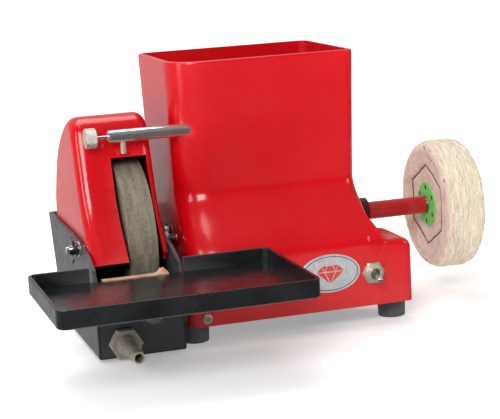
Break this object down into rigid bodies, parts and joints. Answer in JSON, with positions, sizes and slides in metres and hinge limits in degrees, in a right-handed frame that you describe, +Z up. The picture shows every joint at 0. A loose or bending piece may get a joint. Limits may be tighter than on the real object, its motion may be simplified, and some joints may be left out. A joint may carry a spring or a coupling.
{
  "type": "cabbing machine",
  "caption": "Bench cabbing machine: water tank housing with an inner motor, grinding wheel under a hood in a water basin, catch tray, drip valve and a buff on the far shaft end.",
  "frame": {"origin": "middle of the bottom of the machine's box, on the bench", "axes": "+X along the spindle towards the buff, +Y to the back, +Z up"},
  "size_m": [0.442, 0.325, 0.233],
  "materials": {
    "red_shell": "gloss red moulded shell",
    "red_metal": "gloss red paint",
    "black_shell": "satin black moulded shell",
    "rubber": "dark grey rubber",
    "tan_rubber": "tan rubber",
    "beige_plastic": "beige nylon",
    "chrome": "bright chrome",
    "steel": "plain steel",
    "cast_alloy": "cast alloy",
    "copper": "varnished copper wire",
    "fan_plastic": "black nylon",
    "abrasive": "brown-grey vitrified grit",
    "blotter": "paper",
    "cotton": "sewn cotton",
    "green_fibre": "green fibre disc",
    "badge": "silver plate with a plain gem outline"
  },
  "bodies": {
    "machine": {"housing": "red_shell", "tank_floor": "red_shell", "guard_tube": "red_metal", "tube_collar": "red_metal", "basin": "black_shell", "tray": "black_shell", "switch_body": "black_shell", "capacitor": "black_shell", "cable_gland": "black_shell", "rubber_feet": "rubber", "seal_gaskets": "rubber", "basin_spacers": "rubber", "splash_strip": "tan_rubber", "drain_fitting": "beige_plastic", "drain_lock_nut": "beige_plastic", "terminal_block": "beige_plastic", "valve_tube": "chrome", "drip_nozzle": "chrome", "tray_bolt": "chrome", "switch_nut": "chrome", "switch_bushing": "chrome", "case_screws": "steel", "base_screws": "steel", "basin_screws": "steel", "fixing_nuts": "steel", "hood_studs": "steel", "valve_lock_nut": "steel", "bearing_outer_rings": "steel", "motor_tie_bolts": "steel", "tray_bracket": "steel", "bottom_plate": "steel", "motor_cradle": "steel", "motor_stator": "steel", "capacitor_clip": "steel", "motor_end_bells": "cast_alloy", "motor_windings": "copper", "badge_plate": "badge"},
    "spindle": {"main_shaft": "steel", "rotor_core": "steel", "cooling_fan": "fan_plastic", "shaft_slinger": "rubber", "bearing_inner_rings": "steel", "bearing_balls": "steel", "grinding_wheel": "abrasive", "wheel_bush": "fan_plastic", "wheel_blotters": "blotter", "wheel_flanges": "steel", "wheel_nut": "steel", "buff_wheel": "cotton", "buff_hub_discs": "green_fibre", "buff_washers": "steel", "buff_nut": "steel"},
    "hood": {"hood": "red_shell"},
    "clamp_left": {"clamp_washer_left": "chrome"},
    "wing_left": {"wing_nut_left": "chrome"},
    "clamp_right": {"clamp_washer_right": "chrome"},
    "wing_right": {"wing_nut_right": "chrome"},
    "needle": {"valve_needle": "steel"},
    "knob": {"valve_knob": "chrome"},
    "toggle": {"switch_lever": "chrome"}
  },
  "joints": [
    {"name": "spindle_spin", "type": "hinge", "parent": "machine", "child": "spindle", "pos_m": [-0.081, 0.0675, 0.08], "axis": [1, 0, 0], "continuous": true},
    {"name": "hood_lift", "type": "slide", "parent": "machine", "child": "hood", "axis": [0, 0, 1], "range_m": [0, 0.007]},
    {"name": "clamp_left_slide", "type": "slide", "parent": "machine", "child": "clamp_left", "axis": [-1, 0, 0], "range_m": [0, 0.00101]},
    {"name": "wing_left_turn", "type": "hinge", "parent": "clamp_left", "child": "wing_left", "pos_m": [-0.171, 0.0215, 0.085], "axis": [-1, 0, 0], "range_deg": [0, 360]},
    {"name": "clamp_right_slide", "type": "slide", "parent": "machine", "child": "clamp_right", "axis": [1, 0, 0], "range_m": [0, 0.00101]},
    {"name": "wing_right_turn", "type": "hinge", "parent": "clamp_right", "child": "wing_right", "pos_m": [-0.09, 0.0215, 0.085], "axis": [1, 0, 0], "range_deg": [0, 360]},
    {"name": "needle_slide", "type": "slide", "parent": "machine", "child": "needle", "axis": [-1, 0, 0], "range_m": [0, 0.00141]},
    {"name": "knob_turn", "type": "hinge", "parent": "machine", "child": "knob", "pos_m": [-0.151, 0.0245, 0.176], "axis": [-1, 0, 0], "range_deg": [0, 720]},
    {"name": "switch_toggle", "type": "hinge", "parent": "machine", "child": "toggle", "pos_m": [0.0754, -0.0275, 0.0452], "axis": [-1, 0, 0], "range_deg": [0, 26]}
  ],
  "couplings": [
    {"joint": "clamp_left_slide", "follows": "wing_left_turn", "m_per_rad": 0.00015915},
    {"joint": "clamp_right_slide", "follows": "wing_right_turn", "m_per_rad": 0.00015915},
    {"joint": "needle_slide", "follows": "knob_turn", "m_per_rad": 0.00011141}
  ]
}
